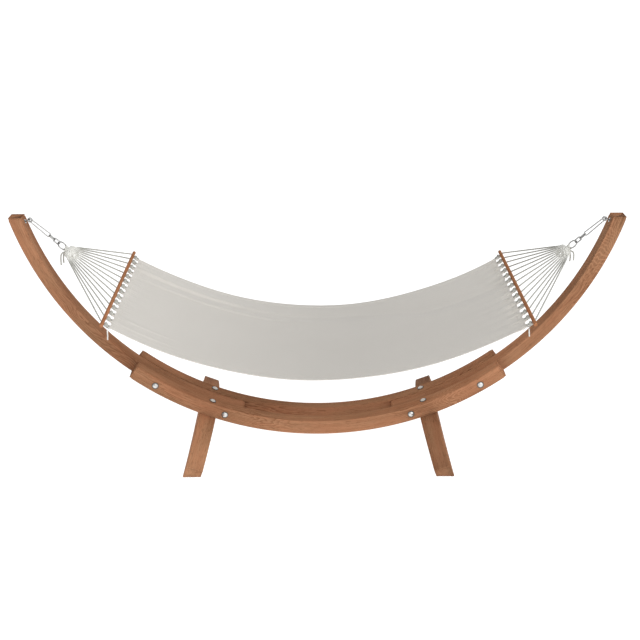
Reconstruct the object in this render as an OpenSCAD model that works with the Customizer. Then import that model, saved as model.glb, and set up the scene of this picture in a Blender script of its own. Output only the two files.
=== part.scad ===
// Arc hammock stand of bolted timber with a spreader-bar hammock hung between its arm tips.
// Millimetres. +Z is up, X runs along the stand, -Y is the front, and the origin is on the floor.

/* [Stand arc] */
// Height of the centre that all the curved timbers share
arc_centre_z = 1733; // [1725:1:1745]
// Radius of the middle of the curved timbers
arc_mid_r = 1675; // [1670:1:1680]
// Depth of an arm, measured along the radius
arm_depth = 69; // [66:1:72]
// Thickness of an arm
arm_thick = 90; // [86:1:94]
// Depth of a base rail, measured along the radius
rail_depth = 78; // [76:1:80]
// Thickness of a base rail
rail_thick = 79; // [74:1:82]
// Height at which the arm tips are cut off level
arm_tip_z = 1250.7; // [1248:0.1:1254]
// Angle from straight down to the lower end of an arm
arm_start_angle = 14.6; // [14:0.1:15]
// Angle from straight down to the end of a base rail
rail_end_angle = 37.2; // [36:0.1:38]
// Chamfer along the edges of the timbers
edge_chamfer = 3; // [2:0.5:4]

/* [Legs] */
// Angle from straight down to a leg and its bolts
leg_angle = 21; // [20.5:0.1:21.5]
// Length of a leg from front to rear
leg_length = 1180; // [1160:5:1200]
// Width of a leg at its middle
leg_mid_w = 96; // [94:1:98]
// Width of a leg at its ends
leg_end_w = 89; // [86:1:92]
// Thickness of a leg before its feet are cut level
leg_thick = 70; // [68:1:72]
// How far a leg curves down from its middle to its ends
leg_arch = 93; // [91:1:95]

/* [Bolts] */
// Diameter of the bolt shanks
bolt_d = 12; // [12:0.5:12.5]
// Diameter of the domed bolt heads
bolt_head_d = 29; // [27:0.5:30]
// Diameter of the bolt washers
washer_d = 37; // [34:0.5:38]
// Angle from straight down to the lower bolt of an arm
arm_bolt_low_angle = 18; // [17.5:0.1:18]
// Angle from straight down to the upper bolt of an arm
arm_bolt_high_angle = 32.3; // [31:0.1:33]

/* [Hanging line] */
// Angle from straight down to the eye bolt of an arm
eye_angle = 71.85; // [71.5:0.05:72.1]
// Distance from the arc's centre to the pivot inside the eye
eye_pivot_r = 1613; // [1612:0.5:1614]
// Slope of the line that runs from the eye down to the knot
pull_angle = 41.9; // [41:0.1:43]
// Thickness of the snap hook's wire
hook_wire_d = 6; // [5.6:0.1:6]
// Distance from the pivot to the wire's centre at the snap hook's wide end
hook_reach = 136; // [134:1:138]
// Length between the wire centres of a chain link
link_pitch = 36; // [35:0.5:37]
// Diameter of the gathering ring at its wire's centre
ring_d = 52; // [50:1:54]

/* [Hammock] */
// Distance from the middle of the hammock to a spreader bar
bar_x = 1081; // [1078:1:1084]
// Height of the spreader bars
bar_z = 855; // [853:1:857]
// Length of a spreader bar
bar_length = 1205; // [1200:1:1210]
// Diameter of a spreader bar
bar_d = 19; // [18:0.5:20]
// Number of cords at each end
cord_count = 14; // [14:1:14]
// Distance between neighbouring cords along the bar
cord_pitch = 84; // [83:0.5:84]
// Diameter of the cords
cord_d = 5; // [4.5:0.1:5]
// Width of the bed
bed_w = 1112; // [1108:1:1116]
// Height of the lowest part of the bed
bed_low_z = 543; // [541:1:545]
// Radius of the curve that the bed hangs in
bed_r = 2088; // [2080:1:2096]
// Thickness of the bed's cloth
bed_thick = 2.4; // [2:0.1:2.6]
// Thickness of the folded hems
hem_thick = 4; // [3.6:0.1:4.2]
// Width of the long hems
side_hem_w = 44; // [42:1:46]

/* [Hidden] */
fine = 96;
coarse = 32;
far = 4000;
gap = 0.4;

timber = "#ac7d5f";
bar_timber = "#af6e4b";
steel = "#c8c8c8";
dark_steel = "#5a5a58";
cord_colour = "#d8d6cc";
cloth_colour = "#cfcbc3";

arm_r = [arc_mid_r - arm_depth / 2, arc_mid_r + arm_depth / 2];
rail_r = [arc_mid_r - rail_depth / 2, arc_mid_r + rail_depth / 2];
base_half_w = arm_thick / 2 + rail_thick;
rail_mid_y = arm_thick / 2 + rail_thick / 2;
arm_bolt_angles = [arm_bolt_low_angle, arm_bolt_high_angle];

leg_top_r = rail_r[1] - 4;
leg_arc_r = (pow(leg_length / 2, 2) + pow(leg_arch, 2)) / (2 * leg_arch);

washer_t = 3;
nut_t = 10;
nut_flats = 19;
bolt_clearance = 0.3;
bolt_head_h = 7;
bolt_head_sphere_r = (pow(bolt_head_d / 2, 2) + pow(bolt_head_h, 2)) / (2 * bolt_head_h);
seat_clearance = 0.15;
leg_bolt_top_r = rail_r[0] - seat_clearance;
leg_spot_r = leg_top_r + leg_thick;

eye_tube_d = 6;
eye_washer_t = 2;
eye_shank_d = 10;
eye_shank_length = 55;
eye_ring_r = (arm_r[0] - eye_washer_t - eye_tube_d / 2 - eye_pivot_r) / 2;
eye_x = eye_pivot_r * sin(eye_angle);
eye_z = arc_centre_z - eye_pivot_r * cos(eye_angle);

hook_bend_r = 10.5;
hook_tail_s = hook_reach - hook_bend_r;
hook_eyelet_r = 9.8;
hook_eyelet_tube_d = 8.6;
eye_gap = 1.2;
hook_eyelet_s = hook_eyelet_r - (hook_eyelet_tube_d + eye_tube_d) / 2 - eye_gap;
hook_head_s = 8;
hook_head_w = 6.9;
hook_side_length = hook_tail_s - hook_head_s;
hook_side_tilt = atan((hook_bend_r - hook_head_w) / hook_side_length);
gate_tip = -104;
gate_pivot = -43.5;
gate_pin_d = 2.4;
tongue_t = 2.4;
fork_gap = 3;
link_wire_d = 5;
link_bend_r = 9.5;
link_1_s = hook_reach - (hook_wire_d + link_wire_d) / 2 - gap;
link_2_s = link_1_s + link_pitch - link_wire_d - gap;
ring_wire_d = 6;
ring_s = link_2_s + link_pitch - (link_wire_d + ring_wire_d) / 2 - gap + ring_d / 2;
ring_turn = 75;
strop_s = ring_s + ring_d / 2;
strop_d = 6;
strop_r = (ring_wire_d + strop_d) / 2 + gap;
core_d = 14;
core_s = [strop_s + strop_r, 270];
whipping_s = 252;
whipping_pitch = 5.3;
whipping_turns = 3;
gather_s = 268;
gather_length = 50;
gather_half_w = 50;
// Thickness and relative size of the two layers that make the gather
gather_layers = [[24, 1], [40, 0.7]];

gather_x = eye_x - gather_s * cos(pull_angle);
gather_z = eye_z - gather_s * sin(pull_angle);
fan_angle = atan2(gather_z - bar_z, gather_x - bar_x);
fan_dir = [-cos(fan_angle), 0, -sin(fan_angle)];
hole_y = [for (i = [0 : cord_count - 1]) (i - (cord_count - 1) / 2) * cord_pitch];
cord_hole_d = 7;

bed_centre_z = bed_low_z + bed_r;
bed_half_w = bed_w / 2;
eyelet_x = 1053;
eyelet_angle = asin(eyelet_x / bed_r);
hem_r = bed_r + bed_thick / 2;
tab_reach = 9;
hem_width = 40;
hem_end_angle = eyelet_angle + tab_reach / bed_r * 180 / PI;
hem_start_angle = hem_end_angle - hem_width / bed_r * 180 / PI;
scallop_depth = 17;
scallop_half_w = 28;
scallop_r = (pow(scallop_half_w, 2) + pow(scallop_depth, 2)) / (2 * scallop_depth);
eyelet_hole_d = 8;
eyelet_barrel_d = 10.6;
eyelet_flange_d = 15;
eyelet_flange_t = 1;
eyelet_cut_d = 11;
eyelet_point = [eyelet_x, 0, bed_centre_z - hem_r * cos(eyelet_angle)];
sheet_normal = [-sin(eyelet_angle), 0, cos(eyelet_angle)];
sheet_out = [cos(eyelet_angle), 0, sin(eyelet_angle)];
lace_dir = (eyelet_point - [bar_x, 0, bar_z]) / norm(eyelet_point - [bar_x, 0, bar_z]);
mouth_gap = 3;
mouth = bar_d / 2 + mouth_gap;
lace_lift = hem_thick / 2 + eyelet_flange_t + cord_d / 2 + 0.3;

// Routes of the free rope ends: [x, y, z], top first, for the right-hand end of the hammock
knot_tail_routes_left = [
    [[1357, -7, 1053], [1367, -9, 1050], [1376, -9, 1043], [1381, -9, 1030], [1383, -9, 1010], [1383, -9, 979]],
    [[1352, 7, 1049], [1361, 8, 1045], [1368, 8, 1036], [1371, 8, 1022], [1372, 8, 1006], [1372, 8, 986]],
];
knot_tail_routes_right = [
    [[1357, -7, 1053], [1367, -9, 1050], [1376, -9, 1044], [1380, -9, 1032], [1381, -9, 1016], [1381, -9, 998]],
    [[1352, 7, 1049], [1359, 8, 1044], [1364, 8, 1035], [1366, 8, 1020], [1366, 8, 1004], [1365, 8, 987]],
];
corner_tail_route_left = [
    [1057, -559, 818], [1058, -562, 811], [1058, -562, 800], [1058, -562, 788], [1059, -562, 777], [1059, -562, 765],
];
corner_tail_route_right = [
    [1057, -559, 818], [1058, -562, 811], [1058, -562, 801], [1059, -562, 793], [1060, -562, 785], [1060, -562, 777],
];

function unit(v) = v / norm(v);
function along(route, i) = unit(route[min(i + 1, len(route) - 1)] - route[max(i - 1, 0)]);
function side_of(v) = unit(cross(v, [0, 1, 0]));
function bar_point(y, reach) = [bar_x, y, bar_z] + reach * lace_dir;
function peel(i) = 8 + 12 * (abs(i - (cord_count - 1) / 2) - 0.5);
function gather_point(forward, y) = [gather_x, y, gather_z] + forward * fan_dir;
function cord_start(i) = gather_point(
    (gather_length + 2) * cos(peel(i)),
    sign(hole_y[i]) * (gather_half_w + 2) * sin(peel(i))
);

// Places children, drawn towards -Z, along the radius at this angle from straight down
module radial(angle) {
    translate([0, 0, arc_centre_z]) rotate([0, -angle, 0]) children();
}

// The same for the circle that the bed hangs in
module bed_radial(angle) {
    translate([0, 0, bed_centre_z]) rotate([0, -angle, 0]) children();
}

// Places children, drawn along +X, on the line from the right-hand eye down to its knot
module along_pull() {
    translate([eye_x, 0, eye_z]) rotate([0, 180 - pull_angle, 0]) children();
}

// Places children, drawn along +X, on the line from the right-hand knot to its spreader bar
module along_fan() {
    translate([gather_x, 0, gather_z]) rotate([0, 180 - fan_angle, 0]) children();
}

module left_end() {
    mirror([1, 0, 0]) children();
}

module both_ends() {
    children();
    left_end() children();
}

module rod(from, to, d) {
    v = to - from;
    translate(from) rotate([0, acos(v.z / norm(v)), atan2(v.y, v.x)]) cylinder(h = norm(v), d = d, $fn = coarse);
}

// A rope along a route, as a tube of eight sides
module rope(route, d) {
    sides = 8;
    last = len(route) - 1;
    points = [
        for (i = [0 : last], k = [0 : sides - 1])
            let (v = along(route, i), u = side_of(v), w = cross(v, u), a = 360 * k / sides)
                route[i] + d / 2 * (cos(a) * u + sin(a) * w)
    ];
    walls = [
        for (i = [0 : last - 1], k = [0 : sides - 1])
            let (n = (k + 1) % sides)
                [i * sides + k, (i + 1) * sides + k, (i + 1) * sides + n, i * sides + n]
    ];
    ends = [
        [for (k = [0 : sides - 1]) k],
        [for (k = [sides - 1 : -1 : 0]) last * sides + k],
    ];
    polyhedron(points = points, faces = concat(walls, ends), convexity = 4);
}

// A curved timber between two radii, two places along Y and two angles from straight down
module arc_timber(r, y, angles, c = edge_chamfer) {
    translate([0, 0, arc_centre_z]) rotate([90, 0, 0]) rotate([0, 0, angles[0] - 90])
        rotate_extrude(angle = angles[1] - angles[0], $fn = 360)
            polygon([
                [r[0] + c, -y[1]], [r[1] - c, -y[1]], [r[1], -y[1] + c], [r[1], -y[0] - c],
                [r[1] - c, -y[0]], [r[0] + c, -y[0]], [r[0], -y[0] - c], [r[0], -y[1] + c],
            ]);
}

module cross_hole(angle, d) {
    radial(angle) translate([0, 0, -arc_mid_r]) rotate([90, 0, 0])
        cylinder(h = 2 * base_half_w + 20, d = d, center = true, $fn = fine);
}

module leg_bolt_hole(y) {
    radial(leg_angle) translate([0, y, -rail_r[0] - 80]) cylinder(h = 260, d = bolt_d + bolt_clearance, center = true, $fn = fine);
}

module rail(y) {
    difference() {
        arc_timber(rail_r, y, [-rail_end_angle, rail_end_angle]);
        for (side = [-1, 1]) {
            for (angle = arm_bolt_angles) cross_hole(side * angle, bolt_d + bolt_clearance);
            mirror([side < 0 ? 1 : 0, 0, 0]) leg_bolt_hole((y[0] + y[1]) / 2);
        }
    }
}

module arm() {
    difference() {
        arc_timber(arm_r, [-arm_thick / 2, arm_thick / 2], [arm_start_angle, 80]);
        translate([0, -far / 2, arm_tip_z]) cube([far, far, far]);
        for (angle = arm_bolt_angles) cross_hole(angle, bolt_d + bolt_clearance);
        radial(eye_angle) translate([0, 0, -arm_r[0] - eye_shank_length - 1])
            cylinder(h = eye_shank_length + 11, d = eye_shank_d + bolt_clearance, $fn = fine);
    }
}

// The curved slab of a leg, in a frame where it runs along Y and its top faces +Z
module leg_slab() {
    centre = -leg_top_r - leg_arc_r;
    difference() {
        translate([0, 0, centre]) rotate([0, 90, 0]) cylinder(h = leg_mid_w, r = leg_arc_r, center = true, $fn = 360);
        translate([0, 0, centre - leg_thick]) rotate([0, 90, 0])
            cylinder(h = leg_mid_w + 2, r = leg_arc_r, center = true, $fn = 360);
    }
}

module leg_outline() {
    half = leg_length / 2;
    translate([0, 0, -leg_top_r - 300]) linear_extrude(height = 400)
        polygon([
            [-leg_end_w / 2, -half], [leg_end_w / 2, -half],
            [leg_mid_w / 2, -base_half_w], [leg_mid_w / 2, base_half_w],
            [leg_end_w / 2, half], [-leg_end_w / 2, half],
            [-leg_mid_w / 2, base_half_w], [-leg_mid_w / 2, -base_half_w],
        ]);
}

module leg() {
    difference() {
        radial(leg_angle) intersection() {
            leg_slab();
            leg_outline();
        }
        translate([0, -far / 2, -far]) cube([far, far, far]);
        translate([0, 0, arc_centre_z]) rotate([90, 0, 0])
            cylinder(h = 2 * base_half_w + 1, r = rail_r[1], center = true, $fn = 360);
        for (y = [-rail_mid_y, rail_mid_y]) {
            leg_bolt_hole(y);
            radial(leg_angle) translate([0, y, -leg_spot_r - 20]) cylinder(h = 20, d = washer_d + 3, $fn = fine);
        }
    }
}

// A bolt with a domed head that rests at z = 0 and a shank that runs down
module domed_bolt(length) {
    intersection() {
        translate([0, 0, bolt_head_h - bolt_head_sphere_r]) sphere(r = bolt_head_sphere_r, $fn = fine);
        cylinder(h = bolt_head_h + 1, d = bolt_head_d, $fn = fine);
    }
    translate([0, 0, -length]) cylinder(h = length + 1, d = bolt_d, $fn = fine);
}

module flat_washer(d, hole_d, t) {
    difference() {
        cylinder(h = t, d = d, $fn = fine);
        translate([0, 0, -1]) cylinder(h = t + 2, d = hole_d, $fn = fine);
    }
}

module hex_nut() {
    difference() {
        cylinder(h = nut_t, d = nut_flats / cos(30), $fn = 6);
        translate([0, 0, -1]) cylinder(h = nut_t + 2, d = bolt_d + 0.1, $fn = fine);
    }
}

// Places children at each arm bolt, facing the front, this far in front of the middle
module at_arm_bolts(front) {
    for (side = [-1, 1], angle = arm_bolt_angles)
        radial(side * angle) translate([0, -front, -arc_mid_r]) rotate([90, 0, 0]) children();
}

// Places children at each leg bolt, facing up, at this distance from the arc's centre
module at_leg_bolts(r) {
    for (side = [-1, 1], y = [-rail_mid_y, rail_mid_y])
        radial(side * leg_angle) translate([0, y, -r]) children();
}

module eye_bolt() {
    radial(eye_angle) {
        translate([0, 0, -eye_pivot_r - eye_ring_r]) rotate([0, 90, 0])
            rotate_extrude($fn = fine) translate([eye_ring_r, 0]) circle(d = eye_tube_d, $fn = coarse);
        translate([0, 0, -arm_r[0] - eye_shank_length])
            cylinder(h = eye_shank_length + eye_washer_t + eye_tube_d / 2, d = eye_shank_d, $fn = fine);
    }
}

module eye_bolt_washer() {
    radial(eye_angle) translate([0, 0, -arm_r[0] + seat_clearance / 2]) flat_washer(24, eye_shank_d + 0.2, eye_washer_t);
}

// A bend of wire about the origin, on the side away from +X, over this angle
module wire_bend(bend_r, wire_d, angle = 180) {
    rotate([90, 0, 0]) rotate([0, 0, 180 - angle / 2]) rotate_extrude(angle = angle, $fn = fine)
        translate([bend_r, 0]) circle(d = wire_d, $fn = coarse);
}

module wire_along_x(from, to, z, d) {
    translate([from, 0, z]) rotate([0, 90, 0]) cylinder(h = to - from, d = d, $fn = coarse);
}

// A link of wire that starts at the origin and runs along X
module chain_link() {
    straight = link_pitch - 2 * link_bend_r;
    translate([link_bend_r, 0, 0]) {
        wire_bend(link_bend_r, link_wire_d);
        translate([straight, 0, 0]) rotate([0, 180, 0]) wire_bend(link_bend_r, link_wire_d);
        for (z = [-link_bend_r, link_bend_r]) wire_along_x(0, straight, z, link_wire_d);
    }
}

// Places children, drawn along X and ending at x = 0, on the side of the snap hook at this side of its middle
module along_hook_side(side) {
    along_pull() translate([
        hook_tail_s - hook_bend_r * sin(hook_side_tilt),
        0,
        side * hook_bend_r * cos(hook_side_tilt)
    ]) rotate([0, -side * hook_side_tilt, 0]) children();
}

module gate_pin_hole() {
    along_hook_side(1) translate([gate_pivot, 0, 0]) rotate([90, 0, 0])
        cylinder(h = 20, d = gate_pin_d + 0.1, center = true, $fn = coarse);
}

module snap_hook() {
    difference() {
        union() {
            along_pull() {
                translate([hook_eyelet_s, 0, 0]) rotate([90, 0, 0]) rotate_extrude($fn = fine)
                    translate([hook_eyelet_r, 0]) circle(d = hook_eyelet_tube_d, $fn = coarse);
                translate([hook_tail_s, 0, 0]) rotate([0, 180, 0])
                    wire_bend(hook_bend_r, hook_wire_d, 180 + 2 * hook_side_tilt);
            }
            along_hook_side(-1) wire_along_x(-hook_side_length, 0, 0, hook_wire_d);
            along_hook_side(1) {
                wire_along_x(-hook_side_length, gate_tip - 1, 0, hook_wire_d);
                wire_along_x(gate_pivot + 7, 0, 0, hook_wire_d);
                translate([gate_pivot, -tongue_t / 2, -2.4]) cube([9, tongue_t, 4.8]);
                translate([gate_pivot, 0, 0]) rotate([90, 0, 0])
                    cylinder(h = tongue_t, d = 4.8, center = true, $fn = coarse);
            }
        }
        gate_pin_hole();
    }
}

module hook_gate() {
    difference() {
        along_hook_side(1) wire_along_x(gate_tip, gate_pivot + 3.6, 0, hook_wire_d);
        along_hook_side(1) translate([gate_pivot - 4, -fork_gap / 2, -5]) cube([12, fork_gap, 10]);
        gate_pin_hole();
    }
}

module gate_pin() {
    along_hook_side(1) translate([gate_pivot, 0, 0]) rotate([90, 0, 0])
        cylinder(h = hook_wire_d - 0.4, d = gate_pin_d, center = true, $fn = coarse);
}

module chain_links() {
    along_pull() {
        translate([link_1_s, 0, 0]) rotate([90, 0, 0]) chain_link();
        translate([link_2_s, 0, 0]) chain_link();
    }
}

module gathering_ring() {
    along_pull() translate([ring_s, 0, 0]) rotate([ring_turn, 0, 0]) rotate([90, 0, 0])
        rotate_extrude($fn = fine) translate([ring_d / 2, 0]) circle(d = ring_wire_d, $fn = coarse);
}

module cord_gather() {
    along_pull() {
        translate([strop_s, 0, 0]) rotate([ring_turn, 0, 0])
            rotate_extrude($fn = fine) translate([strop_r, 0]) circle(d = strop_d, $fn = coarse);
        wire_along_x(core_s[0], core_s[1], 0, core_d);
    }
    along_fan() for (layer = gather_layers)
        translate([0, 0, -layer[0] / 2]) linear_extrude(height = layer[0])
            polygon([for (a = [-90 : 12 : 90]) layer[1] * [gather_length * cos(a), gather_half_w * sin(a)]]);
}

module knot_whipping() {
    along_pull() for (i = [0 : whipping_turns - 1]) translate([whipping_s + i * whipping_pitch, 0, 0])
        rotate([0, 90, 0]) rotate_extrude($fn = fine)
            translate([core_d / 2 + cord_d / 2 + 0.1, 0]) circle(d = cord_d, $fn = coarse);
}

module suspension_cords() {
    for (i = [0 : cord_count - 1])
        rope([cord_start(i), bar_point(hole_y[i], -mouth), bar_point(hole_y[i], mouth)], cord_d);
}

module spreader_bar() {
    round_r = 4;
    difference() {
        translate([bar_x, bar_length / 2, bar_z]) rotate([90, 0, 0]) rotate_extrude($fn = fine)
            polygon([
                [0, 0],
                for (a = [0 : 15 : 90]) [bar_d / 2 - round_r + round_r * sin(a), round_r - round_r * cos(a)],
                for (a = [90 : -15 : 0])
                    [bar_d / 2 - round_r + round_r * sin(a), bar_length - round_r + round_r * cos(a)],
                [0, bar_length],
            ]);
        for (y = hole_y) rod(bar_point(y, -mouth), bar_point(y, mouth), cord_hole_d);
    }
}

// A doubled cord from a hole of the bar, down through an eyelet and back
module lacing_loops() {
    exit = mouth + 1.2;
    strand_gap = cord_d / 2 + 0.3;
    bend_r = 3.2;
    lace_normal = [lace_dir.z, 0, -lace_dir.x];
    for (y = hole_y) {
        start = bar_point(y, exit);
        eye = eyelet_point + [0, y, 0];
        rope([
            start + strand_gap * lace_normal,
            eye + lace_lift * sheet_normal + bend_r * sheet_out,
            eye + (lace_lift - bend_r * (1 - cos(45))) * sheet_normal + bend_r * (1 - sin(45)) * sheet_out,
            eye + (lace_lift - bend_r) * sheet_normal,
            eye - (lace_lift - bend_r) * sheet_normal,
            eye - (lace_lift - bend_r * (1 - cos(45))) * sheet_normal + bend_r * (1 - sin(45)) * sheet_out,
            eye - lace_lift * sheet_normal + bend_r * sheet_out,
            eye - (lace_lift + 0.1) * sheet_normal + (eyelet_flange_d / 2 + 0.6) * sheet_out,
            eye - (lace_lift - 0.7) * sheet_normal + (tab_reach + 1.5) * sheet_out,
            start - strand_gap * lace_normal,
        ], cord_d);
    }
}

module eyelets() {
    barrel = hem_thick + 0.4;
    for (y = hole_y) bed_radial(eyelet_angle) translate([0, y, -hem_r]) difference() {
        union() {
            cylinder(h = barrel, d = eyelet_barrel_d, center = true, $fn = coarse);
            for (side = [-1, 1]) translate([0, 0, side * (barrel + eyelet_flange_t) / 2])
                cylinder(h = eyelet_flange_t, d = eyelet_flange_d, center = true, $fn = coarse);
        }
        cylinder(h = 20, d = eyelet_hole_d, center = true, $fn = coarse);
    }
}

// Part of the bed's curved sheet, between two angles and two places along Y
module sheet(thick, angles, y) {
    rotate([90, 0, 0]) translate([0, bed_centre_z, -y[1]]) rotate([0, 0, angles[0] - 90])
        rotate_extrude(angle = angles[1] - angles[0], $fn = 360)
            translate([hem_r - thick / 2, 0]) square([thick, y[1] - y[0]]);
}

module bed_cloth() {
    color(cloth_colour) sheet(bed_thick, [-hem_start_angle, hem_start_angle], [side_hem_w - bed_half_w, bed_half_w - side_hem_w]);
}

module side_hem(side) {
    y = side < 0 ? [-bed_half_w, side_hem_w - bed_half_w] : [bed_half_w - side_hem_w, bed_half_w];
    sheet(hem_thick, [-hem_start_angle, hem_start_angle], y);
}

module end_hem() {
    difference() {
        sheet(hem_thick, [hem_start_angle, hem_end_angle], [-bed_half_w, bed_half_w]);
        for (i = [0 : cord_count - 2])
            bed_radial(hem_end_angle) translate([scallop_r - scallop_depth, (hole_y[i] + hole_y[i + 1]) / 2, -hem_r])
                cylinder(h = 60, r = scallop_r, center = true, $fn = fine);
        for (y = hole_y) bed_radial(eyelet_angle) translate([0, y, -hem_r])
            cylinder(h = 20, d = eyelet_cut_d, center = true, $fn = fine);
    }
}

module base_rail_front() { color(timber) rail([-base_half_w, -arm_thick / 2]); }
module base_rail_rear() { color(timber) rail([arm_thick / 2, base_half_w]); }
module arm_left() { color(timber) left_end() arm(); }
module arm_right() { color(timber) arm(); }
module leg_left() { color(timber) left_end() leg(); }
module leg_right() { color(timber) leg(); }

module arm_bolts() {
    color(steel) at_arm_bolts(base_half_w + washer_t) domed_bolt(2 * base_half_w + 2 * washer_t + nut_t + 4);
}
module arm_bolt_head_washers() {
    color(dark_steel) at_arm_bolts(base_half_w) flat_washer(washer_d, bolt_d + 0.6, washer_t);
}
module arm_bolt_nut_washers() {
    color(steel) at_arm_bolts(-base_half_w - washer_t) flat_washer(washer_d, bolt_d + 0.6, washer_t);
}
module arm_bolt_nuts() {
    color(steel) at_arm_bolts(-base_half_w - washer_t - nut_t) hex_nut();
}
module leg_bolts() {
    color(steel) at_leg_bolts(leg_bolt_top_r - washer_t)
        domed_bolt(leg_spot_r - leg_bolt_top_r + 2 * washer_t + nut_t + 4);
}
module leg_bolt_head_washers() {
    color(dark_steel) at_leg_bolts(leg_bolt_top_r) flat_washer(washer_d, bolt_d + 0.6, washer_t);
}
module leg_bolt_nut_washers() {
    color(steel) at_leg_bolts(leg_spot_r + washer_t) flat_washer(washer_d, bolt_d + 0.6, washer_t);
}
module leg_bolt_nuts() {
    color(steel) at_leg_bolts(leg_spot_r + washer_t + nut_t) hex_nut();
}
module eye_bolt_left() { color(steel) left_end() eye_bolt(); }
module eye_bolt_right() { color(steel) eye_bolt(); }
module eye_bolt_washers() { color(steel) both_ends() eye_bolt_washer(); }
module snap_hook_left() { color(steel) left_end() snap_hook(); }
module snap_hook_right() { color(steel) snap_hook(); }
module hook_gate_left() { color(steel) left_end() hook_gate(); }
module hook_gate_right() { color(steel) hook_gate(); }
module gate_pins() { color(steel) both_ends() gate_pin(); }
module chain_links_left() { color(steel) left_end() chain_links(); }
module chain_links_right() { color(steel) chain_links(); }
module gathering_ring_left() { color(steel) left_end() gathering_ring(); }
module gathering_ring_right() { color(steel) gathering_ring(); }
module cord_gather_left() { color(cord_colour) left_end() cord_gather(); }
module cord_gather_right() { color(cord_colour) cord_gather(); }
module knot_whipping_left() { color(cord_colour) left_end() knot_whipping(); }
module knot_whipping_right() { color(cord_colour) knot_whipping(); }
module suspension_cords_left() { color(cord_colour) left_end() suspension_cords(); }
module suspension_cords_right() { color(cord_colour) suspension_cords(); }
module spreader_bar_left() { color(bar_timber) left_end() spreader_bar(); }
module spreader_bar_right() { color(bar_timber) spreader_bar(); }
module lacing_loops_left() { color(cord_colour) left_end() lacing_loops(); }
module lacing_loops_right() { color(cord_colour) lacing_loops(); }
module eyelets_left() { color(steel) left_end() eyelets(); }
module eyelets_right() { color(steel) eyelets(); }
module side_hem_front() { color(cloth_colour) side_hem(-1); }
module side_hem_rear() { color(cloth_colour) side_hem(1); }
module end_hem_left() { color(cloth_colour) left_end() end_hem(); }
module end_hem_right() { color(cloth_colour) end_hem(); }
module knot_tails_left() { color(cord_colour) left_end() for (route = knot_tail_routes_left) rope(route, cord_d); }
module knot_tails_right() { color(cord_colour) for (route = knot_tail_routes_right) rope(route, cord_d); }
module corner_tail_left() { color(cord_colour) left_end() rope(corner_tail_route_left, cord_d); }
module corner_tail_right() { color(cord_colour) rope(corner_tail_route_right, cord_d); }

base_rail_front();
base_rail_rear();
arm_left();
arm_right();
leg_left();
leg_right();
arm_bolts();
arm_bolt_head_washers();
arm_bolt_nut_washers();
arm_bolt_nuts();
leg_bolts();
leg_bolt_head_washers();
leg_bolt_nut_washers();
leg_bolt_nuts();
eye_bolt_left();
eye_bolt_right();
eye_bolt_washers();
snap_hook_left();
snap_hook_right();
hook_gate_left();
hook_gate_right();
gate_pins();
chain_links_left();
chain_links_right();
gathering_ring_left();
gathering_ring_right();
cord_gather_left();
cord_gather_right();
knot_whipping_left();
knot_whipping_right();
suspension_cords_left();
suspension_cords_right();
spreader_bar_left();
spreader_bar_right();
lacing_loops_left();
lacing_loops_right();
eyelets_left();
eyelets_right();
bed_cloth();
side_hem_front();
side_hem_rear();
end_hem_left();
end_hem_right();
knot_tails_left();
knot_tails_right();
corner_tail_left();
corner_tail_right();
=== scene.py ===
from math import asin, cos, pi, radians, sin, sqrt

import bpy
import numpy as np
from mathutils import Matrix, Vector


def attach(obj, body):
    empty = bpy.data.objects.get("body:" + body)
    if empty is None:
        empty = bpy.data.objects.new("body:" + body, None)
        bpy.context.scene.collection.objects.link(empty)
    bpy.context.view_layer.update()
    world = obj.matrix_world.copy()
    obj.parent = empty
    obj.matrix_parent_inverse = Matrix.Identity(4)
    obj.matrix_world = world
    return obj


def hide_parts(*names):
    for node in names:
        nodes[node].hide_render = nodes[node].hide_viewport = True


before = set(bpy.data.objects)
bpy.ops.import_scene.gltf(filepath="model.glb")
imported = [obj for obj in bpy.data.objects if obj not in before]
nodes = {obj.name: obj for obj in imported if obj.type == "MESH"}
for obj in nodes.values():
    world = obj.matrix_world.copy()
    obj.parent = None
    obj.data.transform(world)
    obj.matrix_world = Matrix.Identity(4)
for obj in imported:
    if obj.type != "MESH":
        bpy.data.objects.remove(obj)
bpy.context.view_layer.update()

MM = 0.001

# Sizes that repeat the CAD model's, in metres
ARC_Z = 1.733
ARM_R = (1.6405, 1.7095)
RAIL_R = (1.636, 1.714)
ARM_HALF = 0.045
BASE_HALF = 0.124
TIP_Z = 1.2507
ARM_START = radians(14.6)
RAIL_END = radians(37.2)
LEG_ANGLE = radians(21.0)
LEG_HALF = 0.59
LEG_TOP_R = 1.710
LEG_THICK = 0.070
LEG_ARCH = 0.093
LEG_WIDTHS = (0.096, 0.089)
PULL = radians(41.9)
EYE = Vector((1.532744, 0.0, 1.230541))
LINK_S = (0.1301, 0.1607)
LINK_PITCH = 0.036
LINK_BEND_R = 0.0095
RING_S = 0.2168
RING_R = 0.026
RING_TURN = radians(75)
GATHER_S = 0.268
BAR_X = 1.081
BAR_Z = 0.855
CORDS = 14
PITCH = 0.084
BED_LOW = 0.5445
BED_CURVE = 0.257
BED_HALF = 0.556
SIDE_HEM = 0.044
EYELET_X = 1.053
EYELET_Z = 0.8295
TAB_REACH = 0.009
SCALLOP_DEPTH = 0.017
SCALLOP_HALF = 0.028

# Radii of the ropes and wires as they show, a little thicker than in the CAD model, in metres
CORD_R = 0.0040
TAIL_R = 0.0034
KNOT_TAIL_R = 0.0043
LACE_R = 0.0042
LOOP_R = 0.0024
WRAP_R = 0.0028
STRAND_R = 0.0031
BAND_R = 0.0027
WIRE_R = 0.0036
# How much longer a chain link is at each end, which makes room for its thicker wire
LINK_STRETCH = 0.0011

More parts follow.
